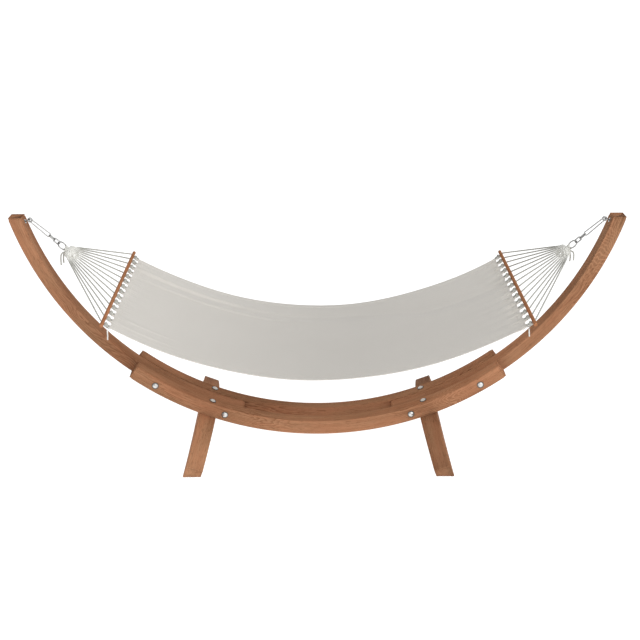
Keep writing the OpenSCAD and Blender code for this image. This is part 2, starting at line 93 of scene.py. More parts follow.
# The camera, in millimetres, metres and degrees
SENSOR = 36
LENS = 66.86
SHIFT_X = 0.0038
SHIFT_Y = -0.0046
CAMERA_AT = (-0.038, -6.112, 2.988)
CAMERA_TILT = 20.756
CAMERA_TURN = 0.345
CAMERA_ROLL = -0.052

HOLE_Y = [(i - (CORDS - 1) / 2) * PITCH for i in range(CORDS)]
random = np.random.default_rng(7)


# ---------------- camera
def add_camera():
    data = bpy.data.cameras.new("camera")
    data.sensor_width = SENSOR
    data.lens = LENS
    data.shift_x = SHIFT_X
    data.shift_y = SHIFT_Y
    data.clip_end = 100
    camera = bpy.data.objects.new("camera", data)
    camera.location = CAMERA_AT
    tilt = radians(CAMERA_TILT)
    turn = radians(CAMERA_TURN)
    ahead = Vector((sin(turn) * cos(tilt), cos(turn) * cos(tilt), -sin(tilt)))
    camera.rotation_mode = "QUATERNION"
    camera.rotation_quaternion = ahead.to_track_quat("-Z", "Y")
    camera.rotation_mode = "XYZ"
    camera.rotation_euler.rotate_axis("Z", radians(CAMERA_ROLL))
    bpy.context.scene.collection.objects.link(camera)
    bpy.context.scene.camera = camera


add_camera()
bpy.context.scene.view_settings.view_transform = "Standard"


# ---------------- materials
def tinted(colour, by):
    """The colour made lighter or darker."""
    return tuple(c * by for c in colour)


class Nodes:
    """A node tree that is built one node at a time. Each call gives back the new node's output."""

    def __init__(self, tree):
        self.tree = tree

    def add(self, kind, inputs=(), out=0, **settings):
        node = self.tree.nodes.new("ShaderNode" + kind)
        for key, value in settings.items():
            setattr(node, key, value)
        for key, value in dict(inputs).items():
            if isinstance(value, bpy.types.NodeSocket):
                self.tree.links.new(value, node.inputs[key])
            else:
                node.inputs[key].default_value = value
        return node.outputs[out]

    def math(self, operation, a, b=0.0):
        return self.add("Math", {0: a, 1: b}, operation=operation)

    def times(self, a, b):
        return self.math("MULTIPLY", a, b)

    def plus(self, a, b):
        return self.math("ADD", a, b)

    def parts(self, vector):
        return list(self.add("SeparateXYZ", {0: vector}).node.outputs)

    def scaled(self, vector, scale, offset=(0, 0, 0)):
        return self.add("Mapping", {"Vector": vector, "Scale": scale, "Location": offset})

    def noise(self, vector, scale, detail=3.0, rough=0.5):
        sockets = {"Vector": vector, "Scale": scale, "Detail": detail, "Roughness": rough}
        return self.add("TexNoise", sockets)

    def ramp(self, factor, stops):
        node = self.tree.nodes.new("ShaderNodeValToRGB")
        self.tree.links.new(factor, node.inputs[0])
        elements = node.color_ramp.elements
        while len(elements) < len(stops):
            elements.new(0.5)
        for element, (place, colour) in zip(elements, stops):
            element.position = place
            element.color = (*colour, 1) if hasattr(colour, "__len__") else (colour, colour, colour, 1)
        return node.outputs[0]

    def mix(self, factor, a, b, blend="MIX"):
        node = self.tree.nodes.new("ShaderNodeMix")
        node.data_type = "RGBA"
        node.blend_type = blend
        for socket, value in ((node.inputs[0], factor), (node.inputs[6], a), (node.inputs[7], b)):
            if isinstance(value, bpy.types.NodeSocket):
                self.tree.links.new(value, socket)
            else:
                socket.default_value = value if socket == node.inputs[0] else (*value, 1)
        return node.outputs[2]


class Shader(Nodes):
    """A material's node tree, around a Principled BSDF."""

    def __init__(self, name, **sockets):
        self.material = bpy.data.materials.new(name)
        self.material.use_nodes = True
        super().__init__(self.material.node_tree)
        self.bsdf = self.tree.nodes["Principled BSDF"]
        for key, value in sockets.items():
            self.bsdf.inputs[key.replace("_", " ")].default_value = value

    def colour(self, socket):
        self.tree.links.new(socket, self.bsdf.inputs["Base Color"])

    def rough(self, socket):
        self.tree.links.new(socket, self.bsdf.inputs["Roughness"])

    def bump(self, height, strength, distance):
        sockets = {"Height": height, "Strength": strength, "Distance": distance}
        normal = self.add("Bump", sockets)
        self.tree.links.new(normal, self.bsdf.inputs["Normal"])

    def attribute(self, name):
        return self.add("Attribute", out=1, attribute_name=name)

    def place(self):
        return self.add("TexCoord", out=3)


def wood_shader(name, grain, light, dark, spacing, pith, swirl_at=None, swirl_half=0.2):
    """Oiled hardwood.

    grain is "grain" for a mesh that carries the place along, across and through its timber, or "bar"
    for the spreader bars. spacing is the width of a year's ring and pith the tree's middle, in metres.
    swirl_at is the place along the grain of a rippled patch.
    """
    s = Shader(name, Roughness=0.6, Specular_IOR_Level=0.04, IOR=1.25)
    if grain == "grain":
        g = s.attribute("grain")
    else:
        x, y, z = s.parts(s.place())
        x = s.math("SUBTRACT", s.math("ABSOLUTE", x), BAR_X)
        g = s.add("CombineXYZ", {0: y, 1: x, 2: s.math("SUBTRACT", z, BAR_Z)})

    # year rings, bent by a slow warp, which show in patches
    warp = s.noise(s.scaled(g, (1.6, 5, 5)), 1.0, 3, 0.5)
    shift = s.times(s.math("SUBTRACT", warp, 0.5), 0.11)
    figure = s.noise(s.scaled(g, (2.1, 6, 6), (9, 3, 1)), 1.0, 2, 0.5)
    figure = s.ramp(figure, ((0.44, 0.12), (0.62, 1.0)))
    around = s.scaled(g, (0.05, 1, 1), (0, *pith))
    bent = s.add("VectorMath", {0: around, 1: shift}, operation="ADD")
    rings = s.add(
        "TexWave",
        {
            "Vector": bent,
            "Scale": 0.314 / spacing,
            "Distortion": 5.0,
            "Detail": 3.0,
            "Detail Scale": 2.6,
            "Detail Roughness": 0.6,
        },
        out=1,
        wave_type="RINGS",
        rings_direction="X",
        wave_profile="SAW",
    )

    # fibres, streaks and slow changes of tone and hue
    fibre = s.noise(s.scaled(g, (4.5, 330, 330)), 1.0, 4, 0.65)
    streak = s.noise(s.scaled(g, (1.3, 48, 48)), 1.0, 4, 0.6)
    tone = s.noise(s.scaled(g, (1.7, 9, 9)), 1.0, 3, 0.55)
    hue = s.noise(s.scaled(g, (2.6, 15, 15), (4, 4, 4)), 1.0, 3, 0.55)
    pores = s.noise(s.scaled(g, (52, 560, 560)), 1.0, 2, 0.5)
    late = s.times(s.math("POWER", rings, 2.6), figure)
    shade = s.plus(s.times(late, 0.42), s.times(fibre, 0.34))
    shade = s.plus(shade, s.times(streak, 0.36))
    shade = s.plus(shade, s.times(tone, 0.34))
    base = s.ramp(shade, ((0.40, tinted(light, 1.06)), (0.84, tinted(dark, 0.93))))
    redder = s.mix(1.0, base, (1.06, 0.955, 0.93), "MULTIPLY")
    base = s.mix(s.ramp(hue, ((0.38, 0.0), (0.62, 1.0))), base, redder)

    # short dark strokes, the rippled patch and open pores
    strokes = s.noise(s.scaled(g, (17, 230, 230), (2, 7, 5)), 1.0, 2, 0.5)
    strokes = s.ramp(strokes, ((0.33, 1.0), (0.42, 0.0)))
    base = s.mix(s.times(strokes, 0.5), base, tinted(dark, 0.7))
    if swirl_at is not None:
        along = s.parts(g)[0]
        off = s.math("ABSOLUTE", s.math("SUBTRACT", along, swirl_at))
        near = s.math("MAXIMUM", s.math("SUBTRACT", 1.0, s.math("DIVIDE", off, swirl_half)), 0.0)
        near = s.math("POWER", near, 0.6)
        flow = s.noise(s.scaled(g, (6, 17, 17), (3, 1, 8)), 1.0, 1.5, 0.45)
        phase = s.plus(s.times(flow, 58.0), s.times(along, 260.0))
        swirl = s.ramp(s.math("SINE", phase), ((0.1, 0.0), (0.9, 1.0)))
        swirl = s.times(s.times(swirl, near), 0.5)
        base = s.mix(swirl, base, tinted(light, 1.3))
    pore_mask = s.ramp(pores, ((0.31, 1.0), (0.38, 0.0)))
    s.colour(s.mix(s.times(pore_mask, 0.5), base, tinted(dark, 0.5)))
    s.rough(s.ramp(fibre, ((0.2, 0.56), (0.8, 0.74))))
    height = s.math("SUBTRACT", s.times(fibre, 0.6), s.times(pore_mask, 0.5))
    s.bump(s.math("SUBTRACT", height, s.times(late, 0.35)), 0.35, 0.0006)
    return s.material


def steel_shader(name, base, rough):
    """Plated steel with faint clouds and fine pitting."""
    s = Shader(name, Metallic=1.0)
    cloud = s.noise(s.place(), 220.0, 4, 0.6)
    fine = s.noise(s.scaled(s.place(), (1400, 1400, 1400)), 1.0, 2, 0.5)
    s.colour(s.ramp(cloud, ((0.3, tinted(base, 0.82)), (0.7, base))))
    s.rough(s.ramp(cloud, ((0.3, rough + 0.12), (0.7, rough))))
    s.bump(fine, 0.12, 0.0002)
    return s.material


def cord_shader(name, light, dark, groove_shade=0.55, painted_light_end=None):
    """Twisted cotton. The attribute lay is the place along and around the rope, and how deep in a groove.

    painted_light_end is a lighter colour for the first few centimetres from the knot: painted light.
    """
    s = Shader(name, Roughness=0.85, Specular_IOR_Level=0.2, Sheen_Weight=0.25, Sheen_Roughness=0.5)
    lay = s.attribute("lay")
    fibre = s.noise(s.scaled(lay, (260, 900, 1)), 1.0, 4, 0.65)
    soil = s.noise(s.place(), 28.0, 3, 0.5)
    along, _, groove = s.parts(lay)
    base = s.ramp(fibre, ((0.3, dark), (0.7, light)))
    base = s.mix(s.ramp(soil, ((0.4, 0.0), (0.75, 0.5))), base, tinted(dark, 0.86))
    if painted_light_end is not None:
        # painted light: the cord is lightened over its first few centimetres from the knot
        near_knot_light = s.ramp(along, ((0.075, 1.0), (0.13, 0.0)))
        base = s.mix(near_knot_light, base, painted_light_end)
    # painted shade: the cord is darkened in the grooves between its strands
    s.colour(s.mix(s.times(groove, groove_shade), base, tinted(dark, 0.55)))
    s.bump(fibre, 0.5, 0.0006)
    return s.material


# Light and shade painted into the cloth along its length, darkest in the middle and lightest at the right
# end: (0 at the left end to 1 at the right, tone)
CLOTH_LIGHT_AND_SHADE = (
    (0.0, 0.93), (0.1, 0.92), (0.37, 0.855), (0.5, 0.85),
    (0.61, 0.865), (0.73, 0.92), (0.9, 0.99), (1.0, 1.0),
)
# Distance between two threads of the cloth
WEAVE_PITCH = 0.0011


def cloth_shader(name, light, dark):
    """A plain weave. The attribute cloth is the place on the flat cloth, in metres."""
    s = Shader(name, Roughness=0.9, Specular_IOR_Level=0.15, Sheen_Weight=0.3, Sheen_Roughness=0.6)
    flat = s.attribute("cloth")
    u, v, _ = s.parts(flat)
    turns = 2 * pi / WEAVE_PITCH
    warp = s.math("SINE", s.times(u, turns))
    weft = s.math("SINE", s.times(v, turns))
    weave = s.times(warp, weft)
    slub_warp = s.noise(s.scaled(flat, (9, 700, 1)), 1.0, 3, 0.6)
    slub_weft = s.noise(s.scaled(flat, (700, 9, 1)), 1.0, 3, 0.6)
    slub = s.plus(s.times(slub_warp, 0.5), s.times(slub_weft, 0.5))
    cloud = s.noise(s.scaled(flat, (1.6, 3.2, 1)), 1.0, 3, 0.5)
    base = s.ramp(slub, ((0.32, dark), (0.66, light)))
    base = s.mix(s.ramp(cloud, ((0.35, 0.0), (0.7, 0.55))), base, dark)
    dots = s.ramp(weave, ((0.0, 0.86), (0.75, 1.0)))
    # painted light and shade: the cloth is darkened towards its middle and lightened towards its ends
    cloth_light_shade = s.ramp(s.plus(s.times(u, 0.45), 0.5), CLOTH_LIGHT_AND_SHADE)
    base = s.mix(1.0, base, cloth_light_shade, "MULTIPLY")
    s.colour(s.mix(1.0, base, dots, "MULTIPLY"))
    s.bump(s.plus(s.times(weave, 0.5), s.times(slub, 1.6)), 0.55, 0.0004)
    return s.material


# How light each timber is, against the lightest: each board's own tone, with painted shade on the right
# leg, whose top faces away from the light
TIMBER_TONES_AND_SHADE = {
    "base_rail_front": 0.90,
    "base_rail_rear": 0.78,
    "arm_left": 0.80,
    "arm_right": 0.82,
    "leg_left": 0.93,
    "leg_right": 0.66,
}
# Where along its grain a timber has a patch of rippled figure, and half the patch's length
SWIRLS = {"arm_right": (13.32, 0.21), "base_rail_front": (3.86, 0.11)}
TIMBER_LIGHT = (0.50, 0.262, 0.146)
TIMBER_DARK = (0.262, 0.126, 0.064)
BAR_LIGHT = (0.475, 0.222, 0.108)
BAR_DARK = (0.285, 0.128, 0.060)
# The cords' colours: partly the cord's own grey, partly painted shade for their undersides
CORD_LIGHT = (0.56, 0.555, 0.51)
CORD_DARK = (0.42, 0.42, 0.385)


def timber_material(name):
    light = tinted(TIMBER_LIGHT, TIMBER_TONES_AND_SHADE[name])
    dark = tinted(TIMBER_DARK, TIMBER_TONES_AND_SHADE[name])
    swirl = SWIRLS.get(name, (None, 0.0))
    return wood_shader(f"timber_{name}", "grain", light, dark, 0.0065, (0.075, 0.02), *swirl)


bar_wood = wood_shader("bar_wood", "bar", BAR_LIGHT, BAR_DARK, 0.005, (0.012, 0.03))
steel = steel_shader("steel", (0.46, 0.46, 0.45), 0.22)
bright_steel = steel_shader("bright_steel", (0.78, 0.78, 0.77), 0.3)
# The eyelets' steel is made dark: painted shade for the shadows in and around the eyelets
eyelet_steel_painted_shade = steel_shader("eyelet_steel_painted_shade", (0.24, 0.24, 0.23), 0.35)
dark_steel = steel_shader("dark_steel", (0.13, 0.13, 0.12), 0.42)
# One rope in lit and shaded copies: the fan cords, lacing and knot tails are darker, painted shade; the
# knot and the corner tails are lighter, painted light over the shade between the knot's strands
fan_white_light_and_shade = cord_shader("fan_white_light_and_shade", CORD_LIGHT, CORD_DARK, 0.3, (0.88, 0.875, 0.83))
cord_white_painted_shade = cord_shader("cord_white_painted_shade", CORD_LIGHT, CORD_DARK, 0.3)
knot_white_painted_light = cord_shader("knot_white_painted_light", (0.86, 0.855, 0.81), (0.72, 0.715, 0.67), 0.4)
cloth = cloth_shader("cloth", (0.925, 0.885, 0.82), (0.86, 0.82, 0.755))
thread = cord_shader("thread", (0.88, 0.86, 0.80), (0.76, 0.74, 0.68))


# ---------------- mesh tools
class Pile:
    """Vertices, faces and one vector per vertex, gathered from several shapes into one mesh."""

    def __init__(self, attribute):
        self.attribute = attribute
        self.verts = []
        self.faces = []
        self.values = []
        self.count = 0

    def add(self, verts, faces, values):
        self.verts.append(np.asarray(verts, float))
        self.values.append(np.asarray(values, float))
        self.faces += [tuple(int(i) + self.count for i in face) for face in faces]
        self.count += len(verts)

    def build(self, name, material, mirror=False, replaces=(), body="hammock"):
        """Makes the piece, which stands for the CAD node with its name, or for those in replaces."""
        verts = np.concatenate(self.verts)
        faces = self.faces
        if mirror:
            verts = verts * (-1, 1, 1)
            faces = [face[::-1] for face in faces]
        if name in nodes:
            replaces = [name]
            name = f"{name}_shape"
        mesh = bpy.data.meshes.new(name)
        mesh.from_pydata(verts.tolist(), [], faces)
        mesh.update()
        mesh.shade_smooth()
        layer = mesh.attributes.new(self.attribute, "FLOAT_VECTOR", "POINT")
        layer.data.foreach_set("vector", np.concatenate(self.values).astype(np.float32).ravel())
        mesh.materials.append(material)
        piece = bpy.data.objects.new(name, mesh)
        bpy.context.scene.collection.objects.link(piece)
        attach(piece, body)
        if replaces:
            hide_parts(*replaces)
        return piece


def unit(v):
    """The vectors of v, each one long."""
    return v / np.linalg.norm(v, axis=-1, keepdims=True)


def smooth_path(points, step):
    """A Catmull-Rom curve through these points, with points this far apart."""
    p = np.asarray(points, float)
    p = np.vstack([2 * p[0] - p[1], p, 2 * p[-1] - p[-2]])
    t = np.linspace(0, 1, 24, endpoint=False)[:, None]
    parts = []
    for a, b, c, d in zip(p[:-3], p[1:-2], p[2:-1], p[3:]):
        square = 2 * a - 5 * b + 4 * c - d
        cube = 3 * b - a - 3 * c + d
        parts.append(0.5 * (2 * b + (c - a) * t + square * t**2 + cube * t**3))
    return even_path(np.vstack([*parts, p[-2:-1]]), step)


def run_along(path):
    """The distance along a line of points, from its start to each."""
    return np.concatenate([[0], np.cumsum(np.linalg.norm(np.diff(path, axis=0), axis=1))])


def points_at(places, run, path):
    """The points of a line, or of what goes with it, at these distances along it."""
    return np.stack([np.interp(places, run, path[:, k]) for k in range(3)], axis=1)


def even_path(dense, step):
    """The same line with points this far apart."""
    run = run_along(dense)
    places = np.linspace(0, run[-1], max(2, int(round(run[-1] / step)) + 1))
    return points_at(places, run, dense)


def path_frames(path):
    """At each point of a line: its direction, and two directions across it that don't twist."""
    ahead = unit(np.gradient(path, axis=0))
    start = np.array([0.0, 1.0, 0.0])
    if abs(ahead[0] @ start) > 0.9:
        start = np.array([1.0, 0.0, 0.0])
    side = [unit(start - ahead[0] * (start @ ahead[0]))]
    for direction in ahead[1:]:
        side.append(unit(side[-1] - direction * (side[-1] @ direction)))
    side = np.array(side)
    return ahead, side, np.cross(ahead, side)


ROPE_SIDES = 12
ROPE_STRANDS = 3
ROPE_PITCH = 0.017
# A rope's size at its cut ends, against the rest of it
ROPE_END = 0.82


def add_rope(pile, path, radius, depth=0.2):
    """A laid rope along a path: its strands show as ridges, this deep, that wind around it."""
    ahead, side, up = path_frames(path)
    run = run_along(path)
    turn = np.arange(ROPE_SIDES) * 2 * pi / ROPE_SIDES
    phase = turn[None, :] - 2 * pi * run[:, None] / ROPE_PITCH
    ridge = np.abs(np.cos(ROPE_STRANDS * phase / 2))
    r = radius * (1 - depth * (1 - ridge)) / (1 - depth * 0.12)
    shrink = np.ones(len(path))
    shrink[0] = shrink[-1] = ROPE_END
    ring = np.cos(turn)[None, :, None] * side[:, None] + np.sin(turn)[None, :, None] * up[:, None]
    verts = path[:, None] + (r * shrink[:, None])[..., None] * ring
    lay = np.stack([run[:, None] + 0 * phase, phase * radius, (1 - ridge) ** 2], axis=-1)
    add_rings(pile, verts, lay)


def add_rings(pile, verts, values, close=False):
    """Joins rows of points, each a closed ring, into a tube with flat ends, or into a loop if close."""
    rows, sides = verts.shape[:2]
    faces = []
    for i in range(rows if close else rows - 1):
        j = (i + 1) % rows
        for k in range(sides):
            n = (k + 1) % sides
            faces.append((i * sides + k, i * sides + n, j * sides + n, j * sides + k))
    if not close:
        faces.append(tuple(range(sides))[::-1])
        faces.append(tuple((rows - 1) * sides + k for k in range(sides)))
    pile.add(verts.reshape(-1, 3), faces, values.reshape(-1, values.shape[-1]))


def pull_point(s, y=0.0, w=0.0):
    """A point along the line from the right-hand eye to its knot: s along it, w below it."""
    return np.array([
        EYE.x - s * cos(PULL) + w * sin(PULL),
        y,
        EYE.z - s * sin(PULL) - w * cos(PULL),
    ])


# ---------------- timbers
ARC_EDGE = 0.0035
LEG_EDGE = 0.004
ARC_STEP = 0.012
LEG_STATIONS = 131
# Past the tip, where the level cut takes over
ARM_END = 1.2


def rounded_profile(low, high, radius, corner=5, sides=(7, 7)):
    """Points around a rectangle from low to high, with round corners, as (u, v) pairs."""
    (u0, v0), (u1, v1) = low, high
    points = []
    corners = (
        (u1 - radius, v1 - radius, 0, (u0 + radius, v1)),
        (u0 + radius, v1 - radius, 90, (u0, v0 + radius)),
        (u0 + radius, v0 + radius, 180, (u1 - radius, v0)),
        (u1 - radius, v0 + radius, 270, (u1, v1 - radius)),
    )
    for cu, cv, start, end in corners:
        for k in range(corner + 1):
            a = radians(start + 90 * k / corner)
            points.append((cu + radius * cos(a), cv + radius * sin(a)))
        count = sides[0] if start in (0, 180) else sides[1]
        begin = points[-1]
        for k in range(1, count):
            points.append(tuple(b + (e - b) * k / count for b, e in zip(begin, end)))
    return np.array(points)


def end_rings(radius):
    """(inset, reach) of the rings that round off a timber's end."""
    turns = np.linspace(pi / 2, 0, 5)
    return [(radius * (1 - cos(a)), radius * (1 - sin(a))) for a in turns]


def arc_timber(name, r, y, start, end, offset=(0, 0, 0), level_tip=False, mirror=False):
    """A curved timber. r and y are its limits; start and end are angles from straight down."""
    profile = rounded_profile((r[0], y[0]), (r[1], y[1]), ARC_EDGE)
    middle = np.array([(r[0] + r[1]) / 2, (y[0] + y[1]) / 2])
    half = np.array([(r[1] - r[0]) / 2, (y[1] - y[0]) / 2])
    mid_r = middle[0]

    def ring(inset, reach, t):
        """The profile, shrunk by inset, and the angle of each of its points, t of the way along."""
        p = middle + (profile - middle) * (1 - inset / half)
        first = start + reach / mid_r
        if level_tip:
            last = np.arccos(np.clip((ARC_Z - TIP_Z + reach) / p[:, 0], -1, 1))
        else:
            last = end - reach / mid_r
        return p, first + (last - first) * t

    count = int((end - start) * mid_r / ARC_STEP)
    places = [ring(inset, reach, 0.0) for inset, reach in end_rings(ARC_EDGE)[::-1]]
    places += [ring(0, ARC_EDGE, k / count) for k in range(1, count)]
    places += [ring(inset, reach, 1.0) for inset, reach in end_rings(ARC_EDGE)]
    verts = []
    values = []
    for p, a in places:
        verts.append(np.stack([p[:, 0] * np.sin(a), p[:, 1], ARC_Z - p[:, 0] * np.cos(a)], axis=1))
        grain = np.stack([a * mid_r + 0 * p[:, 0], p[:, 1], p[:, 0] - mid_r], axis=1)
        values.append(grain + np.array(offset))
    pile = Pile("grain")
    add_rings(pile, np.array(verts)[:, ::-1], np.array(values)[:, ::-1])
    pile.build(name, timber_material(name), mirror, body="stand")


def leg(name, side, offset):
    """A cross leg, arched from front to rear, hollowed under the rails and cut level at its feet."""
    rings = end_rings(LEG_EDGE)
    rows = [(inset, -LEG_HALF + reach) for inset, reach in rings[::-1]]
    rows += [(0, y) for y in np.linspace(-LEG_HALF, LEG_HALF, LEG_STATIONS)[1:-1]]
    rows += [(inset, LEG_HALF - reach) for inset, reach in rings]
    cos_leg = cos(LEG_ANGLE)
    sin_leg = sin(LEG_ANGLE)
    verts = []
    values = []
    for inset, y in rows:
        taper = min(1.0, max(0.0, (abs(y) - BASE_HALF) / (LEG_HALF - BASE_HALF)))
        half_w = (LEG_WIDTHS[0] + (LEG_WIDTHS[1] - LEG_WIDTHS[0]) * taper) / 2
        top = LEG_TOP_R + LEG_ARCH * (y / LEG_HALF) ** 2
        low = (-half_w + inset, top + inset)
        high = (half_w - inset, top + LEG_THICK - inset)
        p = rounded_profile(low, high, LEG_EDGE, sides=(11, 9))
        t = p[:, 0]
        r = p[:, 1].copy()
        if abs(y) < BASE_HALF + 0.0006:
            seat = np.sqrt(RAIL_R[1] ** 2 - t**2)
            r = np.maximum(r, np.minimum(seat, top + 0.5 * LEG_THICK))
        r = np.minimum(r, (ARC_Z + t * sin_leg) / cos_leg)
        x = side * (r * sin_leg + t * cos_leg)
        verts.append(np.stack([x, 0 * t + y, ARC_Z - r * cos_leg + t * sin_leg], axis=1))
        grain = np.stack([0 * t + y, t, p[:, 1] - top], axis=1)
        values.append(grain + np.array(offset))
    pile = Pile("grain")
    verts = np.array(verts)[:, ::side]
    values = np.array(values)[:, ::side]
    add_rings(pile, verts, values)
    pile.build(name, timber_material(name), body="stand")


FRONT_RAIL_Y = (-BASE_HALF, -ARM_HALF)
REAR_RAIL_Y = (ARM_HALF, BASE_HALF)
ARM_Y = (-ARM_HALF, ARM_HALF)
# An offset moves a timber to another place in the wood's grain
arc_timber("base_rail_front", RAIL_R, FRONT_RAIL_Y, -RAIL_END, RAIL_END, (3.1, 0.02, 0.0))
arc_timber("base_rail_rear", RAIL_R, REAR_RAIL_Y, -RAIL_END, RAIL_END, (7.7, 0.01, 0.03))
arc_timber("arm_right", ARM_R, ARM_Y, ARM_START, ARM_END, (11.4, 0.0, 0.01), level_tip=True)
arc_timber("arm_left", ARM_R, ARM_Y, ARM_START, ARM_END, (19.3, 0.02, 0.02), level_tip=True, mirror=True)
leg("leg_right", 1, (23.0, 0.0, 0.0))
leg("leg_left", -1, (29.0, 0.02, 0.0))


# ---------------- bed
def run_at(x):
    """The distance along the bed's curve from its middle."""
    k = 2 * BED_CURVE
    return 0.5 * (x * np.sqrt(1 + (k * x) ** 2) + np.arcsinh(k * x) / k)


RUN_X = np.linspace(0, 1.2, 4001)
RUN_S = run_at(RUN_X)
EYELET_S = float(np.interp(EYELET_X, RUN_X, RUN_S))
TIP_S = EYELET_S + TAB_REACH
SCALLOP_R = (SCALLOP_HALF**2 + SCALLOP_DEPTH**2) / (2 * SCALLOP_DEPTH)

CREASE_LEAN = random.uniform(-0.35, 0.35, CORDS)
# Creases at each eyelet: place beside it, width, depth and reach inward
CREASES = (
    (0.0, 0.0050, 0.0044, 0.050),
    (0.013, 0.004, 0.0026, 0.036),
    (-0.014, 0.004, 0.0028, 0.042),
)
# The side hems' inner seam: its place, width and depth
SEAM = (0.509, 0.0035, -0.0011)
# Long folds: (run, place across, strength) along each, its height, the width of its step and its fading
FOLDS = (
    (
        ((-1.11, 0.378, 0.9), (-0.9, 0.367, 1), (-0.5, 0.358, 0.8), (-0.2, 0.348, 0.35), (0.0, 0.345, 0)),
        0.0125, 0.032, 0.09,
    ),
    (
        ((-1.08, 0.275, 0), (-0.9, 0.268, 0.8), (-0.5, 0.254, 1), (-0.2, 0.246, 0.6), (0.0, 0.245, 0)),
        0.0066, 0.022, 0.05,
    ),
    (((-1.11, 0.440, 1), (-0.6, 0.435, 0.5), (-0.3, 0.435, 0)), 0.0030, 0.018, 0.03),
    (
        (
            (-0.4, 0.215, 0), (-0.1, 0.2925, 0.5), (0.2, 0.2925, 0.6),
            (0.42, 0.235, 0.5), (0.62, 0.13, 0.8), (1.11, 0.10, 1.2),
        ),
        -0.0150, 0.120, 0.20,
    ),
    (((-1.11, -0.390, 1), (-0.9, -0.388, 0.9), (-0.72, -0.386, 0)), 0.0034, 0.020, 0.03),
    (((-1.11, -0.472, 1), (-0.9, -0.470, 0.9), (-0.72, -0.468, 0)), 0.0034, 0.020, 0.03),
)
# Over this length at each end the folds die out, so that the eyelets stay where they are
HELD = 0.10


def edge_run(y):
    """How far the cloth reaches from the middle at this place across it."""
    off = np.abs(y - PITCH * np.round(y / PITCH))
    cut = SCALLOP_R - SCALLOP_DEPTH + TIP_S - np.sqrt(np.clip(SCALLOP_R**2 - off**2, 0, None))
    inside_cut = (off < SCALLOP_HALF) & (np.abs(y) <= HOLE_Y[-1])
    return np.where(inside_cut, np.minimum(cut, TIP_S), TIP_S)


def ease(t):
    """From 0 to 1 with a soft start and end."""
    t = np.clip(t, 0, 1)
    return t**2 * (3 - 2 * t)


def bed_relief(s, y):
    """How far the cloth stands above its smooth curve: pulls from the lacing, seams and slack."""
    end = np.abs(s)
    inward = np.clip(TIP_S - end, 0, None)

    # ripples and creases at the eyelets, deeper at the right-hand end
    offset = y - (np.floor(y / PITCH) + 0.5) * PITCH
    pull = np.exp(-inward / 0.075)
    taut = np.where(s > 0, 1 + 1.6 * np.clip((inward - 0.010) / 0.02, 0, 1), 0.5)
    relief = 0.0028 * taut * pull * np.cos(2 * pi * offset / PITCH)
    index = np.clip(np.round((y - HOLE_Y[0]) / PITCH).astype(int), 0, CORDS - 1)
    lean = CREASE_LEAN[index] * np.sign(s)
    for j, (shift, width, depth, reach) in enumerate(CREASES):
        line = offset - shift - lean * inward * (0.25 + 0.3 * j)
        strength = np.exp(-(((inward - 0.03) / reach) ** 2))
        relief -= depth * taut * strength * np.exp(-((line / width) ** 2))

    # slack between the ends, and the hems' seams
    slack = 0.0022 * np.sin(3.1 * s + 4 * y) * np.cos(5.3 * y + 1.2)
    slack = slack + 0.0012 * np.sin(9 * s + 2.5 * y + 1)
    relief += slack * (1 - 0.6 * pull)
    relief += SEAM[2] * np.exp(-(((np.abs(y) - SEAM[0]) / SEAM[1]) ** 2))

    # long folds, and the sides' droop
    held = ease(inward / HELD)
    for places, height, rise, fall in FOLDS:
        runs, across, strength = np.array(places).T
        past = y - np.interp(s, runs, across)
        fade = np.exp(-np.clip(past - rise / 2, 0, None) / fall)
        relief += height * held * np.interp(s, runs, strength) * ease(past / rise + 0.5) * fade
    relief -= 0.007 * np.clip((np.abs(y) - 0.40) / 0.156, 0, 1) ** 2 * (1 - (end / 1.12) ** 4)
    return relief


def bed_curve(s):
    """x, slope and length of the tangent of the bed's smooth curve at this run from its middle."""
    x = np.sign(s) * np.interp(np.abs(s), RUN_S, RUN_X)
    slope = 2 * BED_CURVE * x
    return x, slope, np.sqrt(1 + slope**2)


def bed_point(s, y, lift=0.0):
    """A point on the bed at this run from its middle, place across it and height above it."""
    s, y = np.broadcast_arrays(np.asarray(s, float), np.asarray(y, float))
    x, slope, length = bed_curve(s)
    h = bed_relief(s, y) + lift
    return np.stack([x - h * slope / length, y, BED_LOW + BED_CURVE * x**2 + h / length], axis=-1)


def bed_normal(s):
    x, slope, length = bed_curve(s)
    return np.stack([-slope / length, 0 * x, 1 / length], axis=-1)


def pitch_lines():
    """Places across the cloth: closer together near each eyelet."""
    steps = np.array([0, 2, 4, 6, 8.5, 11, 14, 17, 21, 25, 29, 33, 37.5]) * MM
    lines = []
    for y in HOLE_Y:
        lines += [y - d for d in steps[::-1]] + [y + d for d in steps[1:]]
    lines += [-BED_HALF, BED_HALF] + [y + PITCH / 2 for y in HOLE_Y[:-1]]
    return np.unique(np.round([y for y in lines if abs(y) <= BED_HALF + 1e-9], 6))


# Radius of the holes in the cloth, under the eyelets' flanges
CLOTH_HOLE = 0.0052


